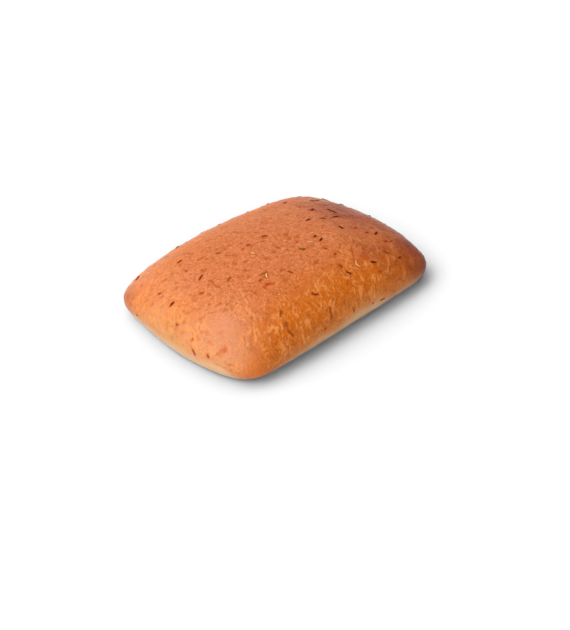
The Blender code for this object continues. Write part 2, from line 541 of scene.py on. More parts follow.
crooked = points + within_skin(LINE_WAVER * noise_shifts(points, LINE_WAVE, layer=40), normals)
groove_shade = np.zeros(len(points))
line_relief = np.zeros(len(points))
for depth, half_width, corners in GROOVES:
    away = distance_to(crust_path(smooth_crust, corners), crooked) / (half_width * MM)
    # the groove mask paints painted shade into each groove, darker for deeper ones
    groove_shade = np.maximum(groove_shade, min(1, depth / FULLY_DARK_FROM) * bell(away))
    line_relief += depth * MM * (LIP_SHARE * bell(away - LIP_AT) - bell(away))
print(f"{len(GROOVES)} grooves, the deepest {max(row[0] for row in GROOVES)} mm")

# %% Folds
FOLDS = (
    # height in millimetres, then the path
    (0.20, ((-5.0, -45.8), (-7.9, -46.7), (-9.7, -48.2), (-10.6, -49.7))),
    (0.22, ((-3.9, -40.7), (-4.4, -42.2), (-4.9, -43.8))),
    (0.16, ((17.5, -46.9), (15.6, -48.2), (13.6, -49.3), (11.9, -51.1))),
    (0.14, ((21.2, -49.3), (19.6, -50.6), (19.3, -51.7))),
    (0.30, ((20.8, -41.0), (20.3, -43.1), (19.5, -45.2))),
    (0.20, ((45.4, -40.5), (42.2, -42.3), (40.7, -43.8), (37.2, -46.5))),
    (0.14, ((36.7, -46.3), (33.6, -46.1))),
    (0.14, ((36.9, -19.9), (34.8, -23.4))),
    (0.14, ((30.0, -11.8), (31.1, -13.9))),
    (0.16, ((34.0, -34.4), (34.0, -37.9))),
    (0.14, ((27.3, -39.9), (27.5, -42.2))),
    (0.12, ((-2.2, -34.2), (-4.2, -36.0))),
    (0.14, ((-8.4, -39.7), (-8.7, -42.4))),
    (0.18, ((-41.4, -21.0), (-43.1, -24.4))),
    (0.14, ((-44.5, -24.8), (-45.9, -27.3))),
    (0.16, ((-44.3, -27.1), (-46.4, -29.3))),
    (0.18, ((-44.9, -29.8), (-46.7, -33.2))),
    (0.18, ((-43.8, -32.6), (-44.5, -35.8))),
    (0.16, ((-48.0, -41.7), (-44.7, -42.1))),
    (0.16, ((-30.5, -50.3), (-31.5, -52.0))),
    (0.14, ((-28.3, -48.0), (-30.0, -49.9))),
    (0.16, ((-40.2, -48.9), (-41.2, -50.2))),
    (0.14, ((-47.2, -44.1), (-49.5, -46.4))),
    (0.14, ((-24.6, -37.8), (-26.3, -40.0))),
    (0.16, ((-35.4, -37.2), (-36.9, -39.1))),
    (0.16, ((-33.1, -40.3), (-35.0, -42.4))),
    (0.16, ((-38.0, -43.2), (-39.1, -44.5))),
    (0.16, ((-48.6, -34.2), (-50.3, -36.0))),
    (0.14, ((-23.3, -48.2), (-24.9, -50.2))),
    (0.14, ((-32.3, -47.6), (-30.5, -46.6))),
    (0.14, ((-67.6, 13.2), (-65.8, 12.5), (-63.6, 12.9))),
)
FOLD_HALF_WIDTH = 0.34
BROKEN_FROM_TO = (-0.4, 0.2)
WHERE_BROKEN = 0.5

whole = ramp(noise_over(points, LINE_WAVE, layer=43), *BROKEN_FROM_TO)
fold = np.zeros(len(points))
for tall, corners in FOLDS:
    away = distance_to(crust_path(smooth_crust, corners), crooked) / (FOLD_HALF_WIDTH * MM)
    ridge = bell(away) * (WHERE_BROKEN + (1 - WHERE_BROKEN) * whole)
    fold = np.maximum(fold, ridge)
    line_relief += tall * MM * ridge
print(f"{len(FOLDS)} folds, the highest {max(row[0] for row in FOLDS)} mm")

# %% [markdown]
# ## Orange peel, blisters and pits
#
# Steam lifts the skin all over in fine grains, and here and there in blisters a few millimetres wide.
# Between them the skin stays down in shallow pits, which the finish paints a deeper orange as
# painted shade.

# %% Orange peel, blisters and pits
PEEL_SIZE = 1.6 * MM
PEEL_HEIGHT = 0.10 * MM
FINER_PEEL = 0.5
BLISTER_SIZE = 4.5 * MM
BLISTER_HEIGHT = 0.12 * MM
BLISTER_FROM_TO = (0.18, 0.6)
PIT_SIZE = 2.8 * MM
PIT_DEPTH = 0.16 * MM
PIT_FROM_TO = (0.25, 0.5)
FEWER_IN_WRINKLES = 0.8
FEWER_ON_SLOPES = 0.55

peel = noise_over(points, PEEL_SIZE, layer=8) + FINER_PEEL * noise_over(points, PEEL_SIZE / 2, layer=9)
blister = ramp(noise_over(points, BLISTER_SIZE, layer=11), *BLISTER_FROM_TO)
pit = ramp(noise_over(bent, PIT_SIZE, layer=12), *PIT_FROM_TO)
pit = pit * (1 - FEWER_IN_WRINKLES * wrinkle) * (1 - FEWER_ON_SLOPES * on_slope) * lively

above_foot = np.clip(points[:, 2] / GIRTH_HEIGHT, 0, 1)
relief = wrinkle_relief + line_relief + PEEL_HEIGHT * peel + BLISTER_HEIGHT * blister - PIT_DEPTH * pit
move_points(crust_mesh, points + normals * (relief * above_foot)[:, None])
print(f"relief from {relief.min() / MM:.2f} to {relief.max() / MM:.2f} mm")

# %% [markdown]
# ## Stains
#
# Rosemary oil and sugar brown the skin in small spots, most of them beside a needle. Two noises, one
# coarse and one fine, make their edges ragged: a round spot would look like a freckle.

# %% Stains
STAINS = (
    # across, deep and radius in millimetres, strength
    (-9.7, 8.3, 1.5, 1.0),
    (54.8, -4.1, 3.0, 0.4),
    (56.6, -4.6, 1.0, 0.9),
    (13.2, 19.0, 1.5, 0.45),
    (5.5, -0.7, 1.3, 0.35),
    (8.5, 0.3, 1.3, 0.4),
    (11.5, 1.4, 1.3, 0.4),
    (14.0, 2.3, 1.3, 0.35),
    (-1.1, -2.9, 1.5, 0.4),
    (-28.7, -22.5, 1.3, 0.6),
    (31.8, -35.3, 3.2, 0.32),
    (42.8, 12.5, 2.0, 1.0),
    (14.7, -34.3, 1.5, 0.9),
    (-26.6, -21.8, 1.3, 0.8),
    (-24.4, -22.8, 1.3, 0.7),
    (-68.6, -33.2, 2.6, 0.3),
    (-63.3, -25.9, 1.6, 0.2),
    (-70.8, -32.5, 1.6, 0.2),
    (-33.5, -38.3, 1.2, 0.5),
    (-33.0, -8.5, 2.8, 0.22),
    (47.4, -35.6, 2.2, 0.5),
)
RAGGED_SIZE = 2.2 * MM
FRAYED_SIZE = 1.0 * MM
FRAYED = 0.9
STAIN_RAGGED = 0.6
STAIN_FROM_TO = (1.4, 0.5)

ragged = noise_over(points, RAGGED_SIZE, layer=14) + FRAYED * noise_over(points, FRAYED_SIZE, layer=15)
stain = np.zeros(len(points))
for x, y, radius, strength in STAINS:
    place = np.array([on_crust(smooth_crust, x * MM, y * MM)[0]])
    away = distance_to(place, points) / (radius * MM)
    stain = np.maximum(stain, strength * ramp(away + STAIN_RAGGED * ragged, *STAIN_FROM_TO))
print(f"{len(STAINS)} stains over {100 * (stain > 0.1).mean():.1f}% of the crust")

# %% [markdown]
# ## The cream edge
#
# Where the roll curls under itself the heat didn't reach, and the skin stays cream. The line between
# brown and cream wanders. On this roll it stands highest at the left end, and at the near left
# corner the brown goes right down to the tray. Above it the brown passes through honey.

# %% The cream edge
CREAM_HEIGHT = 6.0 * MM
CREAM_WANDER = 2.4 * MM
WANDER_SIZE = 14 * MM
WANDER_STRETCH = np.array([1, 1, 0.3])
CREAM_LIFTS = (
    # middle in the plan, radius and lift, all in millimetres
    ((-72, -32), 16, 3.8),
    ((-75, -4), 20, 0.8),
    ((-64, -51), 13, -8.5),
    ((8, -52), 32, 2.8),
)
CREAM_FROM_TO = (4.0 * MM, -5.0 * MM)
HONEY_FROM_TO = (11.0 * MM, -1.0 * MM)


def patches(rows):
    """Soft round patches on the crust, summed. A row has a middle, a radius and a strength."""
    total = np.zeros(len(points))
    for middle, radius, strength in rows:
        away = np.linalg.norm(points[:, :2] / MM - np.array(middle), axis=1)
        total += strength * bell(away / radius)
    return total


cream_line = CREAM_HEIGHT + CREAM_WANDER * noise_over(points * WANDER_STRETCH, WANDER_SIZE, layer=30)
cream_line += MM * patches(CREAM_LIFTS)
cream = ramp(points[:, 2] - cream_line, *CREAM_FROM_TO)
honey = ramp(points[:, 2] - cream_line, *HONEY_FROM_TO)
print(f"the cream's upper line lies {cream_line.min() / MM:.1f} to {cream_line.max() / MM:.1f} mm up")

# %% [markdown]
# ## Uneven baking and painted sheen
#
# An oven has hot and cool spots. This roll is darkest at its right end, which stood nearest the oven
# wall, and its left tip browned a little too. On the shoulder above the near left corner and all along
# the far side the skin is painted paler and pinker: a painted highlight and a painted reflection of
# the bright room. Both are sums of soft round patches, which is enough for a change this gradual. The
# finish breaks their edges up with noise.

# %% Uneven baking and painted sheen
# painted highlight and painted reflection: where these patches lie the crust is painted paler and pinker
PAINTED_SHEEN_PATCHES = (
    # middle in the plan and radius in millimetres, strength
    ((-61, -24), 17, 1.0),
    ((-66, -40), 9, 0.4),
    ((-58, 16), 15, 0.55),
    ((-60, 46), 14, 0.95),
    ((-36, 53), 18, 1.0),
    ((0, 55), 20, 0.8),
)
BROWNINGS = (
    # as above
    ((72, -44), 22, 0.75),
    ((72, 2), 28, 0.66),
    ((46, -4), 17, 0.2),
    ((-75, 42), 13, 0.39),
    ((-66, 49), 11, 0.3),
    ((48, 50), 16, 0.2),
    ((48, 21), 9, 0.22),
    ((14, -39), 9, 0.14),
    ((30, -28), 14, 0.08),
    ((50, -52), 14, 0.16),
    ((34, -51), 10, 0.15),
    ((38, -35), 11, 0.22),
    ((-40, -50), 16, 0.12),
)

painted_sheen = patches(PAINTED_SHEEN_PATCHES)
browning = patches(BROWNINGS)
print(f"blush up to {painted_sheen.max():.2f}, browning up to {browning.max():.2f}")

# %% [markdown]
# ## Marks on the mesh
#
# The finish has to know where each wrinkle, crease and stain lies. It could work them out again from
# nodes, but then colour and relief might drift apart. So all of them are stored on the mesh, as one
# number for each point, and the crust's material reads them by name.

# %% Store the marks and make the crust
MARKS = {
    "wrinkle": wrinkle,
    "cream": cream,
    "honey": honey,
    "smooth": smoothed,
    "groove_shade": groove_shade,
    "pit": pit,
    "fold": fold,
    "slope": on_slope,
    "stain": stain,
    "painted_sheen": painted_sheen,
    "browning": browning,
}


def store(name, values):
    """Keeps one number for each point on the mesh, for the crust's material to read."""
    layer = crust_mesh.attributes.new(name, "FLOAT", "POINT")
    layer.data.foreach_set("value", values.astype(np.float32))


for name, values in MARKS.items():
    store(name, values)
crust_mesh.shade_smooth()
crust = put_in_scene("crust", crust_mesh)
surface = tree_of(crust_mesh)
print(f"{len(MARKS)} marks on {len(points)} points of the crust")

# %% [markdown]
# ## Shader maths
#
# A finish is arithmetic on masks and noises. Written as nodes it is hard to read, so this small class
# wraps a node's output and lets Python's own operators add the Math nodes. Colours never go through
# those, because a Math node would turn them grey: they are mixed.

# %% A socket that can be reckoned with
def feed(node, sockets):
    """Links wires to a node's sockets, and sets plain values on the others."""
    for name, value in sockets.items():
        if isinstance(value, Wire):
            value.tree.links.new(value.output, node.inputs[name])
        else:
            node.inputs[name].default_value = value


class Wire:
    """One output of a node. Arithmetic on it adds Math nodes and gives their output."""

    def __init__(self, tree, output):
        self.tree = tree
        self.output = output

    def node(self, kind, settings=None, sockets=None, out=0):
        """Adds a node: its settings first, then the values or links of its sockets."""
        made = self.tree.nodes.new(kind)
        for name, value in (settings or {}).items():
            setattr(made, name, value)
        feed(made, sockets or {})
        return Wire(self.tree, made.outputs[out])

    def maths(self, operation, *values):
        """A Math node on these values or wires."""
        return self.node("ShaderNodeMath", {"operation": operation}, dict(enumerate(values)))

    def __add__(self, other):
        return self.maths("ADD", self, other)

    def __radd__(self, other):
        return self.maths("ADD", other, self)

    def __sub__(self, other):
        return self.maths("SUBTRACT", self, other)

    def __rsub__(self, other):
        return self.maths("SUBTRACT", other, self)

    def __mul__(self, other):
        return self.maths("MULTIPLY", self, other)

    def __rmul__(self, other):
        return self.maths("MULTIPLY", other, self)

    def ramp(self, start, end):
        """0 where this is start and 1 where it is end, with soft shoulders."""
        settings = {"interpolation_type": "SMOOTHSTEP"}
        return self.node("ShaderNodeMapRange", settings, {"Value": self, "From Min": start, "From Max": end})

    def swing(self, by):
        """A noise from 0 to 1 as a swing about nought, this wide from end to end."""
        return (self - 0.5) * by

    def less(self, by):
        """1 where this is 0, and less by so much where this is 1."""
        return 1 - self * by

    def mix(self, under, over, how="MIX"):
        """Colour under where this is 0, and over where it is 1."""
        settings = {"data_type": "RGBA", "blend_type": how}
        return self.node("ShaderNodeMix", settings, {0: self, 6: under, 7: over}, out=2)

    def scaled(self, x, y, z):
        """This vector, multiplied along each axis."""
        return self.node("ShaderNodeVectorMath", {"operation": "MULTIPLY"}, {0: self, 1: (x, y, z)})

    def part(self, axis):
        """One of this vector's three numbers."""
        return self.node("ShaderNodeSeparateXYZ", None, {0: self}, out=axis)

    def mark(self, name):
        """The number stored on the mesh under this name."""
        return self.node("ShaderNodeAttribute", {"attribute_name": name}, out="Fac")

    def grain(self, size, detail=2.0, roughness=0.5):
        """Noise from 0 to 1 with features of this size, at this place."""
        sockets = {"Vector": self, "Scale": 1 / size, "Detail": detail, "Roughness": roughness}
        return self.node("ShaderNodeTexNoise", None, sockets)

    def bump(self, depth, strength):
        """A direction for the shader, as if this were relief of this depth."""
        return self.node("ShaderNodeBump", None, {"Height": self, "Distance": depth, "Strength": strength})


# %% [markdown]
# ## Colours and materials
#
# Colours are easiest to pick on screen, from 0 to 255, but shaders reckon in amounts of light, which
# grow much faster than the numbers on screen do. The standard curve turns the one into the other.

# %% Colours and new materials
def linear(red, green, blue):
    """A colour as picked on screen, from 0 to 255, as the light values that shaders use."""
    parts = [c / 255 for c in (red, green, blue)]
    return tuple(c / 12.92 if c <= 0.04045 else ((c + 0.055) / 1.055) ** 2.4 for c in parts)


def paint(red, green, blue):
    """The same for a socket, which wants a fourth number for opacity."""
    return (*linear(red, green, blue), 1)


def new_finish(name):
    """A new material, its main shader, and the place on the object to start from."""
    material = bpy.data.materials.new(name)
    material.use_nodes = True
    tree = material.node_tree
    shader = tree.nodes["Principled BSDF"]
    place = Wire(tree, tree.nodes.new("ShaderNodeTexCoord").outputs["Object"])
    return material, shader, place


print("mid grey on screen is this much light:", np.round(linear(128, 128, 128), 3))

# %% [markdown]
# ## The crust's finish
#
# Golden brown is many browns. The finish follows the bake: a ground colour, grains and specks in it,
# lines and stains on it, and last the edge that stayed pale and the end that went dark. Each layer is
# a mask, and a Mix node lays its colour over what is below. The masks are made from the place on the
# roll, from noises of several sizes and from the marks on the mesh. One painted picture would be
# simpler, but it would have seams, and it wouldn't follow the wrinkles.

# %% What the crust's layers are made from
baked_crust, crust_shader, skin = new_finish("baked_crust")

across = skin.part("X")
deep = skin.part("Y")
height = skin.part("Z")

broad = skin.grain(size=24 * MM)
patch = skin.grain(size=5 * MM, roughness=0.6)
fine = skin.grain(size=1.5 * MM, detail=3, roughness=0.65)
specks = skin.grain(size=2.0 * MM, detail=1)
dust = skin.grain(size=0.9 * MM, detail=1)

slope = skin.mark("slope")
grainy = skin.mark("smooth").less(by=0.6)
crust_nodes = baked_crust.node_tree.nodes
print(f"places, noises and marks take {len(crust_nodes)} nodes")

# %% [markdown]
# ## Ground colours
#
# The top is a warm orange brown, paler and pinker than the fuller one of the slopes: partly its own
# colour and partly painted sheen, where the top would reflect the bright room. Low on the left end the
# brown is wheaten, partly pale crust and partly painted sheen from the lamps on the left. Just above
# the cream edge it is honey, and on the near left shoulder and the far side it is painted pink as a
# painted highlight. The patch noise breaks these three up, so that none of them has a clear edge.

# %% Ground colours
# the top's colour is partly painted sheen, and so is the wheaten colour of the left end
TOP_AND_SHEEN = paint(204, 110, 57)
SLOPE = paint(207, 102, 12)
WHEAT_AND_SHEEN = paint(202, 155, 106)
HONEY = paint(198, 144, 82)
PINK_SHEEN = paint(216, 139, 100)

WHEAT_STRENGTH = 0.72
WHEAT_ACROSS = (-44 * MM, -70 * MM)
WHEAT_FROM_NEAR = (-50 * MM, -36 * MM)
WHEAT_FROM_FAR = (42 * MM, 4 * MM)
WHEAT_HEIGHT = (27 * MM, 12 * MM)
WHEAT_RAGGED = 12 * MM
HONEY_STRENGTH = 0.5
MOSTLY = 0.9

low_down = (height + patch.swing(by=WHEAT_RAGGED)).ramp(*WHEAT_HEIGHT)
not_at_corners = deep.ramp(*WHEAT_FROM_NEAR) * deep.ramp(*WHEAT_FROM_FAR)
wheaten = across.ramp(*WHEAT_ACROSS) * not_at_corners * low_down

colour = slope.mix(TOP_AND_SHEEN, SLOPE)
colour = (wheaten * WHEAT_STRENGTH).mix(colour, WHEAT_AND_SHEEN)
colour = (skin.mark("honey") * (MOSTLY + patch.swing(by=1.2)) * HONEY_STRENGTH).mix(colour, HONEY)
# painted highlight and painted reflection, laid on as a pink colour
colour = (skin.mark("painted_sheen") * (MOSTLY + patch.swing(by=1.5))).mix(colour, PINK_SHEEN)
print(f"{len(crust_nodes)} nodes with the ground colours")

# %% [markdown]
# ## Grains
#
# Close to, the crust is a fine mix of deeper and lighter grains, as each bit of the orange peel
# browned by itself. The pits are painted deepest, as painted shade in the hollows. Two thresholds on
# the same noise keep the dark grains and the light ones apart, where two noises would lay them over
# each other and go muddy.

# %% Deep and light grains
DEEP = paint(174, 78, 6)
SPECK = paint(162, 68, 14)
PEEL_LIGHT = paint(226, 141, 86)
SLOPE_LIGHT = paint(222, 125, 38)

PATCH_STRENGTH, PATCH_FROM_TO = 0.35, (0.5, 0.72)
PIT_SHADE_STRENGTH = 0.9
DARK_STRENGTH, DARK_FROM_TO = 0.75, (0.52, 0.7)
LIGHT_STRENGTH, LIGHT_FROM_TO = 0.8, (0.48, 0.3)
SPECK_STRENGTH, SPECK_FROM_TO = 0.6, (0.62, 0.76)

calm = grainy * slope.less(by=0.25)
dark = fine.ramp(*DARK_FROM_TO) * DARK_STRENGTH * calm * wheaten.less(by=0.3)
colour = (patch.ramp(*PATCH_FROM_TO) * PATCH_STRENGTH * grainy).mix(colour, DEEP)
# painted shade: the pits are painted a deeper orange
colour = (skin.mark("pit") * PIT_SHADE_STRENGTH).mix(colour, DEEP)
colour = dark.mix(colour, DEEP)
# as in the ground, the light grains on top are pinker than those on the slopes: partly painted sheen
light = slope.mix(PEEL_LIGHT, SLOPE_LIGHT)
colour = (fine.ramp(*LIGHT_FROM_TO) * LIGHT_STRENGTH).mix(colour, light)
colour = (specks.ramp(*SPECK_FROM_TO) * SPECK_STRENGTH * (1 - slope) * grainy).mix(colour, SPECK)
print(f"{len(crust_nodes)} nodes with the grains")

# %% [markdown]
# ## Lines, flour and stains
#
# The crests of the wrinkles and the folds are painted pale: partly paler crust and partly a painted
# highlight, where the ridges catch the light. Flour lies over them in fine flecks, thinner on the
# slopes, from which it slid. The stains come after the flour, because oil soaks it up: rust at their
# edge and a burnt brown within. The halos round the needles are marked once the needles lie.

# %% Lines, flour and stains
# partly painted highlight: crests and fold ridges are painted paler where they would catch the light
CREST_AND_HIGHLIGHT = paint(240, 152, 80)
FOLD_AND_HIGHLIGHT = paint(242, 165, 102)
FLOUR = paint(240, 186, 128)
RUST = paint(190, 76, 4)
STAIN = paint(120, 40, 0)

CREST_STRENGTH = 0.85
FOLD_STRENGTH = 0.75
FLOUR_STRENGTH, FLOUR_FROM_TO = 0.5, (0.62, 0.76)
RUST_STRENGTH, RUST_FROM_TO = 0.92, (0, 0.6)
STAIN_STRENGTH, BURNT_FROM_TO = 0.7, (0.5, 1)
HALO_STRENGTH = 0.65

stained = skin.mark("stain")
colour = (skin.mark("wrinkle") * wheaten.less(by=0.35) * CREST_STRENGTH).mix(colour, CREST_AND_HIGHLIGHT)
colour = (skin.mark("fold") * FOLD_STRENGTH).mix(colour, FOLD_AND_HIGHLIGHT)
colour = (dust.ramp(*FLOUR_FROM_TO) * FLOUR_STRENGTH * slope.less(by=0.5)).mix(colour, FLOUR)
colour = (stained.ramp(*RUST_FROM_TO) * RUST_STRENGTH).mix(colour, RUST)
colour = (stained.ramp(*BURNT_FROM_TO) * STAIN_STRENGTH).mix(colour, STAIN)
colour = (skin.mark("halo") * HALO_STRENGTH).mix(colour, RUST)
print(f"{len(crust_nodes)} nodes with the lines, the flour and the stains")

# %% [markdown]
# ## Pale edge, dark end and foot
#
# The cream edge shows the layers of the dough as it was folded, so a noise that is stretched flat
# streaks it lengthways. The grooves are painted dark on brown and cream alike, as painted shade in
# them. The browning of the hot end multiplies what is below, as a longer bake does: pale and dark
# grains darken together. The foot stood on the tray and has its patches of two browns, with some flour.

# %% Pale edge, dark end and foot
CREAM = paint(214, 169, 126)
GROOVE_SHADE = paint(160, 70, 4)
BROWNER = paint(168, 126, 136)
FOOT_DARK = paint(158, 92, 44)
FOOT_PALE = paint(200, 140, 84)

CREAM_STRENGTH = 0.95
LAYER_SIZE, LAYER_STRETCH = 1.1 * MM, 0.12
LAYER_STRENGTH, LAYER_FROM_TO = 0.35, (0.5, 0.7)
GROOVE_SHADE_STRENGTH = 0.95
FOOT_FROM_TO = (0.25, 0.75)
FOOT_FLOUR_STRENGTH, FOOT_FLOUR_FROM_TO = 0.4, (0.6, 0.74)
FOOT_HEIGHT = (1.1 * MM, 0.5 * MM)
FOOT_RAGGED = 1.2 * MM

edge = skin.mark("cream") + patch.swing(by=0.35) + fine.swing(by=0.3)
layers = skin.scaled(LAYER_STRETCH, LAYER_STRETCH, 1).grain(LAYER_SIZE, detail=1)
streaked = CREAM_STRENGTH - layers.ramp(*LAYER_FROM_TO) * LAYER_STRENGTH
colour = (edge.ramp(0, 1) * streaked).mix(colour, CREAM)
# painted shade: the grooves are painted darker
colour = (skin.mark("groove_shade") * GROOVE_SHADE_STRENGTH).mix(colour, GROOVE_SHADE)
baked = skin.mark("browning") * (1 + broad.swing(by=1.2) + patch.swing(by=0.9))
colour = baked.ramp(0, 1).mix(colour, BROWNER, "MULTIPLY")
foot = (broad * 0.5 + patch * 0.5 + fine.swing(by=0.5)).ramp(*FOOT_FROM_TO).mix(FOOT_PALE, FOOT_DARK)
foot = (dust.ramp(*FOOT_FLOUR_FROM_TO) * FOOT_FLOUR_STRENGTH).mix(foot, FLOUR)
colour = (height + patch.swing(by=FOOT_RAGGED)).ramp(*FOOT_HEIGHT).mix(colour, foot)
print(f"{len(crust_nodes)} nodes with the edge, the creases, the dark end and the foot")

# %% [markdown]
# ## Gloss of the crust
#
# A crust shines little. More gloss would lay the white of the studio over the dark creases and turn
# them grey, so the specular level is low. A thin sheen stands for the flour dust: it lightens the skin
# only where it turns away from the eye, as on the far rim. The bump adds grains that are too fine for
# the mesh to the relief that it has already.

# %% Gloss of the crust
SMOOTHEST, ROUGHER = 0.44, 0.16
GRAIN_DEPTH, GRAIN_STRENGTH = 0.3 * MM, 0.8

feed(crust_shader, {
    "Base Color": colour,
    "Roughness": SMOOTHEST + fine * ROUGHER,
    "Normal": fine.bump(GRAIN_DEPTH, GRAIN_STRENGTH),
    "Specular IOR Level": 0.12,
    "Sheen Weight": 0.3,
    "Sheen Roughness": 0.35,
})
crust_mesh.materials.append(baked_crust)
print(f"{len(crust_nodes)} nodes in the whole finish of the crust")

# %% [markdown]
# ## Rosemary
#
# Dried rosemary is cut into short lengths of leaf: a stiff, narrow strip with rolled edges, so that a
# groove runs along it, blunt where the knife went through. In the oven most needles went dark brown,
# some stayed olive, and a few show the pale underside of the leaf or are a bit of stalk. Each kind is
# one piece with all its needles in it. A needle is rings of points along a line that follows the
# crust, so that it lies half sunk in it, with one end lifted a little. Particles could strew needles
# too, but these lie where they lie, and a mesh goes with the roll wherever it is used.

# %% A needle
NEEDLE_SIDES = 10
NEEDLE_RINGS = 9
BLUNTNESS = 5
END_THICKNESS = 0.12
TAPER = 0.12
GROOVE_SHARE = 0.3
GROOVE_SHARPNESS = 6
FLATTENED = 0.85
STANDS_OUT = 0.1
BEND_MIDDLE = 0.4


def needle_profile(t):
    """How thick a needle is along its length, from -1 to 1: full, with blunt ends."""
    return max(1 - abs(t) ** BLUNTNESS, END_THICKNESS) ** 0.5 * (1 - TAPER * t)


def needle_ring(shape, centre, side, out, radius):
    """One ring of a needle, with the groove on its upper side."""
    ring = []
    for corner in range(NEEDLE_SIDES):
        turn = 2 * math.pi * corner / NEEDLE_SIDES
        rise = math.sin(turn) * (1 - GROOVE_SHARE * max(math.sin(turn), 0) ** GROOVE_SHARPNESS)
        point = centre + side * (math.cos(turn) * radius) + out * (rise * radius * FLATTENED)
        ring.append(shape.verts.new(point))
    return ring


print("a needle's start, middle and end:", [round(needle_profile(t), 2) for t in (-1, 0, 1)])

# %% Lay one needle
def lay_needle(shape, shades, spot, heading, length, thick, bend, lift, shade):
    """Adds a needle that lies along the crust at the spot, and gives the places that it covers."""
    middle, normal = on_crust(surface, *spot)
    along = Vector((math.cos(heading), math.sin(heading), 0))
    along = (along - normal * along.dot(normal)).normalized()
    aside = normal.cross(along)
    places, rings = [], []
    for step in range(NEEDLE_RINGS):
        t = 2 * step / (NEEDLE_RINGS - 1) - 1
        wander = aside * (bend * length * (t * t - BEND_MIDDLE))
        place, out, _, _ = surface.find_nearest(middle + along * (t * length / 2) + wander)
        centre = place + out * (STANDS_OUT * thick + lift * (t + 1) ** 2 / 4)
        side = out.cross(along).normalized()
        places.append(place)
        rings.append(needle_ring(shape, centre, side, out, thick / 2 * needle_profile(t)))
    for ring in rings:
        for vert in ring:
            vert[shades] = shade
    for before, after in zip(rings, rings[1:]):
        join_rings(shape, before, after)
    shape.faces.new(rings[0])
    shape.faces.new(rings[-1])
    return places


# %% [markdown]
# ## Where the needles lie
#
# The needles are written by kind, as millimetres across and deep, the heading in degrees from +X and
# the length in millimetres. Those under the girth carry their height too. The large ones are in the
# solid too. The small bits are too fine for it, and are cut thinner.

# %% Large needles
LARGE = {
    "dark": (
        (-64.5, 7.5, 2, 3.0),
        (-54.5, 44.5, 15, 3.2),
        (-44, 8, 22, 4.4),
        (-39, 29, -10, 2.8),
        (-25.5, 45, 10, 2.8),
        (2, 8.2, -45, 2.8),
        (15.3, -39, -63, 3.0),
        (21, -14, 20, 2.8),
        (31, 4.5, -5, 3.0),
        (33, -40, -40, 2.8),
        (38.5, 1, -50, 2.4),
        (39.2, -11.6, -88, 3.0),
        (42.8, 12.5, 10, 2.4),
        (46, -1.7, -15, 3.4),
        (50, 5, -87, 6.6),
        (52.5, -24.5, 25, 3.4),
    ),
    "olive": (
        (-37, -5, 21, 3.6),
        (-24, 16, -45, 2.5),
        (-22, -15, -10, 4.4),
        (7, -14, -40, 3.4),
        (54.5, 23.5, -80, 3.0),
        (57.5, 22.5, -20, 2.6),
    ),
    "pale": (
        (-13.8, 0.8, -82, 3.0),
        (-22, -17, 56, 3.3),
        (15, -12, -42, 3.3),
        (24, -37, -105, 5.0),
    ),
    "brown": (
        (-11, -23, -70, 2.5),
        (-10.5, -40, -30, 3.0),
        (45.5, -38, -50, 2.6),
    ),
}
print(f"{sum(len(rows) for rows in LARGE.values())} large needles")

# %% Small bits
SMALL = {
    "dark": (
        (66.5, 23.5, 0, 1.8),
        (41.8, 31.7, 0, 2.2),
        (-71.1, -3, 60, 1.1),
        (-73.3, -27.2, 20, 1.5, 11.4),
        (20.8, -10.1, 0, 2.0),
        (-61.7, 19.6, -45, 1.8),
        (50.6, -42.9, 0, 2.0),
        (46, -15.9, 10, 1.2),
        (-14.2, 7.8, 0, 1.0),
    ),
    "olive": (
        (27.1, -52.2, 5, 3.6, 7.3),
        (-74.7, -18.5, 190, 3.2, 10),
        (-43.6, 18.9, 20, 1.5),
    ),
    "pale": (),
    "brown": (
        (-11.6, -38.8, 40, 1.8),
        (-52.3, -1.2, -40, 2.0),
        (9.8, -7.7, 30, 1.3),
        (-72.7, -15.6, 0, 0.9),
        (-27, -17.4, 0, 1.5),
        (17.1, -20.8, -60, 1.8),
        (18.4, -26.6, 0, 1.6),
        (48.2, -21.8, -20, 1.8),
        (52.5, -31.5, -20, 2.0),
        (55.5, -32.5, 0, 1.6),
        (32.2, -45.3, 0, 1.3),
        (41.1, 20.1, 0, 1.2),
        (5.7, -51.6, 90, 1.8),
        (20, -52.2, 0, 1.2, 8.4),
        (-16.2, -52, 20, 1.4, 10.7),
        (-70.1, 27.9, 80, 1.3, 7.6),
    ),
}
print(f"{sum(len(rows) for rows in SMALL.values())} small bits")

# %% [markdown]
# ## Needles that nobody placed
#
# The far side and the right end have rosemary too. There the needles are sown by chance, each keeping
# its distance from all before it, because cut needles scatter as they fall. The seed makes every run
# sow the same ones, and it is the seed that the solid was made with.

# %% Sown needles
SEED = 11
SOWN_TRIES = 800
SOWN_LENGTHS = (1.8, 3.4)
SOWN_SPACING = 7
SOWN_TO = 0.97
BEHIND = (0.88, -0.75)
BEYOND = (0.93, -0.1)
HALF_TURN = 180


def sown_needles(rng, taken):
    """Needles strewn by chance on the slopes of the far side and the right end."""
    sown = []
    for _ in range(SOWN_TRIES):
        u = rng.uniform(-SOWN_TO, SOWN_TO)
        v = rng.uniform(-SOWN_TO, SOWN_TO)
        behind = v > BEHIND[0] and u > BEHIND[1]
        beyond = u > BEYOND[0] and v > BEYOND[1]
        if not (behind or beyond):
            continue
        spot = tuple(float(c) / MM for c in plan_point(np.array(u), np.array(v)))
        if min(math.dist(spot, other) for other in taken) < SOWN_SPACING:
            continue
        taken.append(spot)
        length = rng.uniform(*SOWN_LENGTHS)
        sown.append((*spot, rng.uniform(0, HALF_TURN), length))
    return sown


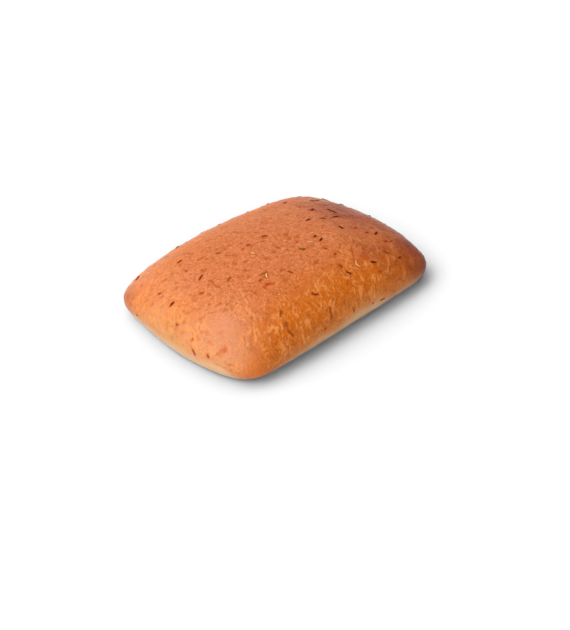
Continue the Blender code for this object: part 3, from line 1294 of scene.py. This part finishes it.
placed = [row[:2] for rows in LARGE.values() for row in rows]
hidden = sown_needles(random.Random(SEED), placed)
SOWN = {"dark": hidden[0::2], "olive": hidden[1::4], "pale": [], "brown": hidden[3::4]}
print(f"{len(hidden)} needles sown")

# %% [markdown]
# ## Laying the rosemary
#
# No two needles are alike: thickness, lift, shade and bend are drawn by chance, each within its limits.
# Short bits are thinner, as they come from the leaf's tip. Towards the right end the needles are
# drawn darker, until all of them are dark.

# %% A piece of rosemary
TIP_THICKNESS = 0.45
TIP_LENGTH = 4
THICKNESS_SPREAD = (0.85, 1.1)
LIFT_SPREAD = (0, 0.25)
DARKER_PAST = (-20, 40)


def rosemary_piece(name, rows, thick, bend, seed):
    """All the needles of one kind as one mesh, and the places on the crust that they cover."""
    rng = random.Random(seed)
    places = []
    shape = bmesh.new()
    shades = shape.verts.layers.float.new("shade")
    for (x, y, heading, length, *up), slim in rows:
        spot = [c * MM for c in (x, y, *up)]
        grown = min(1, TIP_THICKNESS + length / TIP_LENGTH)
        thickness = slim * thick * MM * grown * rng.uniform(*THICKNESS_SPREAD)
        lift = rng.uniform(*LIFT_SPREAD) * MM
        shade = rng.random() * (1 - float(ramp(x, *DARKER_PAST)))
        bent_by = bend * rng.uniform(-1, 1)
        turn = math.radians(heading)
        places += lay_needle(shape, shades, spot, turn, length * MM, thickness, bent_by, lift, shade)
    bmesh.ops.recalc_face_normals(shape, faces=shape.faces)
    mesh = mesh_from(shape, name)
    mesh.shade_smooth()
    return put_in_scene(name, mesh), places


# %% Lay the rosemary
LOOKS = {
    # thickness in millimetres, most bend
    "dark": (0.90, 0.05),
    "olive": (0.90, 0.12),
    "pale": (0.65, 0.25),
    "brown": (0.85, 0.10),
}
SMALL_SLIM = 0.78

rosemary = {}
needle_places = []
for number, (kind, (thick, bend)) in enumerate(LOOKS.items()):
    rows = [(row, 1) for row in LARGE[kind]]
    rows += [(row, SMALL_SLIM) for row in SMALL[kind]]
    rows += [(row, 1) for row in SOWN[kind]]
    rosemary[kind], places = rosemary_piece(f"rosemary_{kind}", rows, thick, bend, number)
    needle_places += places
    print(f"{len(rows)} needles of the {kind} kind")

# %% [markdown]
# ## Rust round the needles
#
# About each needle the crust is painted a rusty brown, in a halo a millimetre wide.
# With hundreds of places on needles and tens of thousands of points, a tree finds each point's
# nearest needle far sooner than a loop over all of them.

# %% Rust round the needles
HALO_REACH = 1.4 * MM
HALO_RAGGED = 0.4 * MM
HALO_FROM_TO = (1.0, 0.3)

soaked = KDTree(len(needle_places))
for number, spot in enumerate(needle_places):
    soaked.insert(spot, number)
soaked.balance()
nearest = np.array([soaked.find(Vector(p))[2] for p in points])
halo = ramp((nearest + HALO_RAGGED * ragged) / HALO_REACH, *HALO_FROM_TO)
store("halo", halo)
print(f"{len(needle_places)} places on needles, halo over {100 * (halo > 0.5).mean():.1f}% of the crust")

# %% [markdown]
# ## The rosemary's finish
#
# Dried needles are dull. Each has its own shade, which lies between the two tones of its kind, and
# fine streaks run through it. The four kinds share one recipe and differ only in their tones.

# %% Dried rosemary
HERB_TONES = {
    "dark": (paint(26, 6, 0), paint(164, 72, 12)),
    "olive": (paint(112, 66, 22), paint(166, 106, 50)),
    "pale": (paint(214, 168, 108), paint(240, 204, 148)),
    "brown": (paint(118, 54, 12), paint(164, 84, 28)),
}
STREAK_SIZE, STREAK_FROM_TO = 0.9 * MM, (0.3, 0.75)
BY_SHADE, BY_STREAK = 0.6, 0.4
HERB_SMOOTHEST, HERB_ROUGHER = 0.6, 0.2
STREAK_DEPTH, STREAK_STRENGTH = 0.05 * MM, 0.6


def herb_finish(kind):
    """The finish of one kind of needle."""
    material, shader, place = new_finish(f"rosemary_{kind}")
    streak = place.grain(STREAK_SIZE, roughness=0.6)
    tone = place.mark("shade") * BY_SHADE + streak.ramp(*STREAK_FROM_TO) * BY_STREAK
    feed(shader, {
        "Base Color": tone.mix(*HERB_TONES[kind]),
        "Roughness": HERB_SMOOTHEST + streak * HERB_ROUGHER,
        "Normal": streak.bump(STREAK_DEPTH, STREAK_STRENGTH),
        "Specular IOR Level": 0.02,
    })
    return material


for kind, piece in rosemary.items():
    piece.data.materials.append(herb_finish(kind))
print(f"{len(rosemary)} kinds of rosemary finished")

# %% [markdown]
# ## Lamps
#
# The roll was photographed on white paper under broad, soft lamps: the strongest behind it to the
# left, others beside and behind it, and low ones on the camera's side that fill the near slopes.
#
# Its shadow there is a neutral grey, while an orange crust beside white paper would tint it. So the
# crust is hidden from diffuse rays, the ones that carry colour from one surface to the next. Such a
# ray would then pass through the roll and might meet a lamp behind it, which would light the paper
# under the roll. For this reason the lamps have multiple importance sampling off: they are reached by
# shadow rays alone, and those the crust still stops. The two settings only work together.

# %% Lamps
LAMPS = {
    # azimuth from +X towards +Y and elevation in degrees, strength
    "key": (135, 45, 1.42),
    "left": (180, 45, 1.28),
    "back": (90, 45, 0.65),
    "rim": (45, 45, 0.64),
    "top": (90, 70, 0.40),
    "front": (225, 15, 1.03),
    "low right": (270, 15, 0.33),
    "low left": (180, 15, 0.22),
}
SOFTNESS = 50


def broad_lamp(name, azimuth, elevation, strength):
    """A far, wide, soft light."""
    data = bpy.data.lights.new(name, "SUN")
    data.energy = strength
    data.angle = math.radians(SOFTNESS)
    data.cycles.use_multiple_importance_sampling = False
    lamp = put_in_scene(name, data)
    turn, rise = math.radians(azimuth), math.radians(elevation)
    towards = Vector((math.cos(turn) * math.cos(rise), math.sin(turn) * math.cos(rise), math.sin(rise)))
    lamp.rotation_euler = towards.to_track_quat("Z", "Y").to_euler()


crust.visible_diffuse = False
for name, row in LAMPS.items():
    broad_lamp(name, *row)
print(f"{len(LAMPS)} lamps, {SOFTNESS} degrees wide")

# %% [markdown]
# ## Paper and room
#
# The ground is a sheet of white paper, far wider than the picture, so that no edge of it shows. It
# needs no more than a matt white, with a faint grain in its roughness. The room's own light is white
# and very dim: just enough to keep the deepest shade under the roll from going black.

# %% Paper
PAPER_SIZE = 8
PAPER_GAP = 0.05 * MM
PAPER_WHITE = (0.9, 0.9, 0.9, 1)
PAPER_SMOOTHEST, PAPER_ROUGHER, PAPER_GRAIN = 0.85, 0.1, 3 * MM


def make_floor():
    """White paper just under the roll, so that the foot doesn't touch it."""
    shape = bmesh.new()
    bmesh.ops.create_grid(shape, x_segments=1, y_segments=1, size=PAPER_SIZE)
    mesh = mesh_from(shape, "floor")
    floor = put_in_scene("floor", mesh)
    floor.location.z = -PAPER_GAP
    material, shader, place = new_finish("white_paper")
    feed(shader, {
        "Base Color": PAPER_WHITE,
        "Roughness": PAPER_SMOOTHEST + place.grain(PAPER_GRAIN) * PAPER_ROUGHER,
        "Specular IOR Level": 0.0,
    })
    mesh.materials.append(material)


make_floor()

# %% Room
ROOM_WHITE = (1, 1, 1, 1)
ROOM_STRENGTH = 0.02

room = bpy.data.worlds.new("studio")
room.use_nodes = True
feed(room.node_tree.nodes["Background"], {"Color": ROOM_WHITE, "Strength": ROOM_STRENGTH})
bpy.context.scene.world = room
bpy.context.scene.view_settings.view_transform = "Standard"
print(f"room light of strength {ROOM_STRENGTH}")

# %% [markdown]
# ## Camera
#
# The camera looks down on the near left corner from about 33 degrees. It stands close enough for the
# near corner to look larger than the far one, as in the photo. The roll isn't in the middle of the
# photo. The camera is aimed a little beside it, as a photographer would do, where a shift of the lens
# would draw the roll from a slightly different perspective.

# %% Camera
CAMERA_TURN = math.radians(45.58)
CAMERA_RISE = math.radians(33.15)
CAMERA_DISTANCE = 0.8984
LENS = 99
MIDDLE = Vector((0, 0, 20 * MM))
AIM_RIGHT = 6.07 * MM
AIM_DOWN = 28.01 * MM


def make_camera():
    """The camera where the photo was taken from."""
    back = Vector((
        -math.sin(CAMERA_TURN) * math.cos(CAMERA_RISE),
        -math.cos(CAMERA_TURN) * math.cos(CAMERA_RISE),
        math.sin(CAMERA_RISE),
    ))
    right = Vector((math.cos(CAMERA_TURN), -math.sin(CAMERA_TURN), 0))
    up = back.cross(right)
    stand = MIDDLE + back * CAMERA_DISTANCE
    aim = MIDDLE + right * AIM_RIGHT - up * AIM_DOWN
    data = bpy.data.cameras.new("camera")
    data.lens = LENS
    camera = put_in_scene("camera", data)
    camera.location = stand
    camera.rotation_euler = (stand - aim).to_track_quat("Z", "Y").to_euler()
    bpy.context.scene.camera = camera
    return camera


camera = make_camera()
print("the camera stands at", np.round(camera.location, 3))

# %% [markdown]
# ## Pieces on the body
#
# Each piece rides on the roll's one body. Together the pieces stand for the imported solid, which is
# hidden and stays as the form that physics feels.

# %% Attach the pieces to the body
pieces = {"crust": crust, **{f"rosemary_{kind}": piece for kind, piece in rosemary.items()}}
for name, piece in pieces.items():
    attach(piece, "root")
    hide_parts("focaccia")
    "crust" if name == "crust" else "rosemary"
